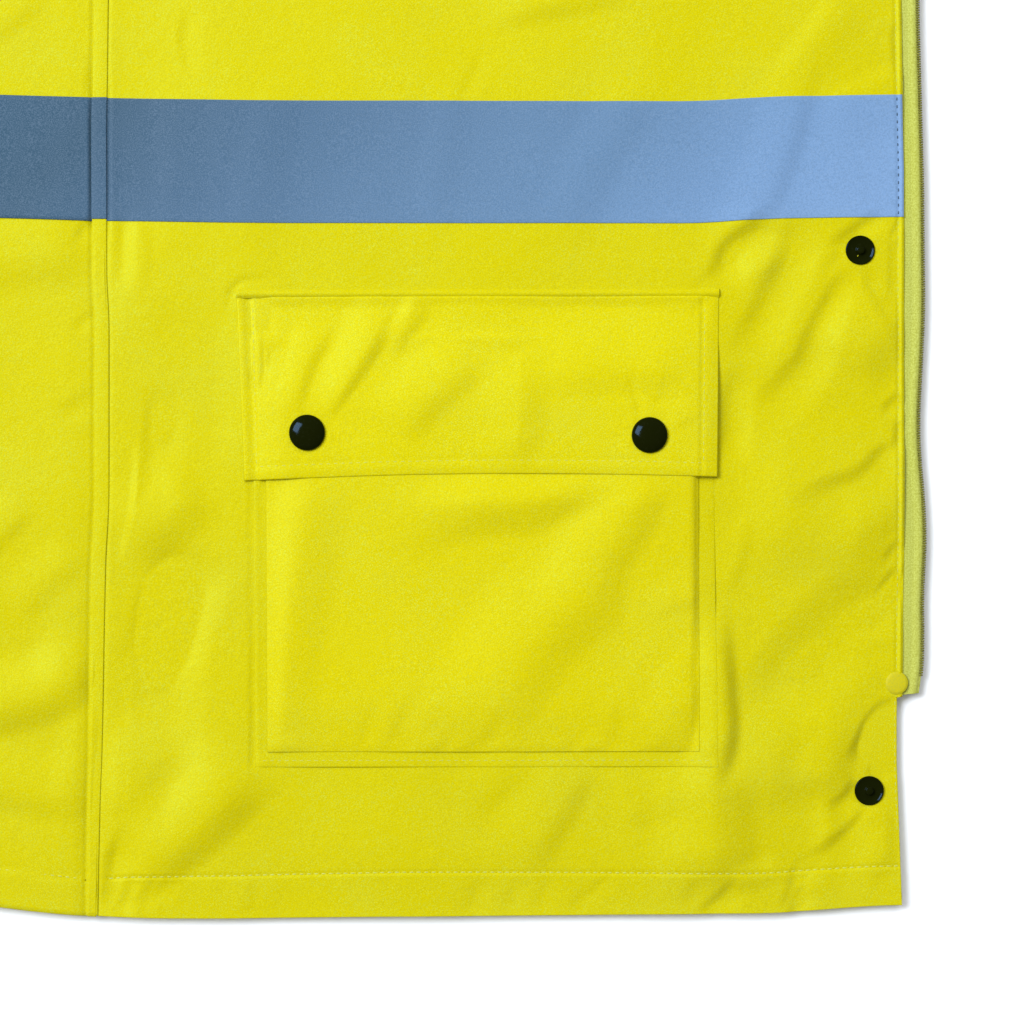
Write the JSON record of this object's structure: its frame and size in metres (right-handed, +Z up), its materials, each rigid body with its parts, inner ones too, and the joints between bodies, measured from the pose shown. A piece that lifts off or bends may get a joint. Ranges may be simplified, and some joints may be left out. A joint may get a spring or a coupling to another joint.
{
  "type": "high-visibility rain jacket",
  "caption": "Yellow hi-vis rain jacket laid flat, unzipped and folded in half down the back, with reflective bands, a flap pocket, snap fastenings and an open zip.",
  "frame": {"origin": "bottom centre of the whole laid jacket's bounding box, on the surface it lies on", "axes": "+Z up from the surface; +Y from the hem toward the collar, along the front edge; +X toward the front edge and zip, away from the sleeves"},
  "size_m": [0.8166, 0.8914, 0.0137],
  "materials": {
    "yellow_cloth": "matt, smooth coated polyester",
    "hidden_cloth": "matt coated polyester, inside and lower layers",
    "silver_band": "fine glass-bead reflective tape",
    "black_snap": "gloss black",
    "zip_tape": "woven zip tape",
    "zip_coil": "nylon coil",
    "yellow_rivet": "painted, satin"
  },
  "bodies": {
    "root": {"front_right": "yellow_cloth", "back": "yellow_cloth", "side_seam": "yellow_cloth", "collar": "yellow_cloth", "sleeve_right": "yellow_cloth", "sleeve_left": "yellow_cloth", "pocket_gusset": "yellow_cloth", "pocket_face": "yellow_cloth", "pocket_flap": "yellow_cloth", "flap_seam": "yellow_cloth", "folded_layers": "hidden_cloth", "band_low_front": "silver_band", "band_low_seam": "silver_band", "band_low_back": "silver_band", "band_high_front": "silver_band", "band_high_seam": "silver_band", "band_high_back": "silver_band", "band_sleeve_right_high": "silver_band", "band_sleeve_right_low": "silver_band", "band_sleeve_left_high": "silver_band", "band_sleeve_left_low": "silver_band", "flap_cap_front": "black_snap", "flap_cap_side": "black_snap", "stud_1": "black_snap", "stud_2": "black_snap", "stud_3": "black_snap", "stud_4": "black_snap", "zip_tape": "zip_tape", "zip_coil": "zip_coil", "zip_rivet": "yellow_rivet"}
  },
  "joints": []
}
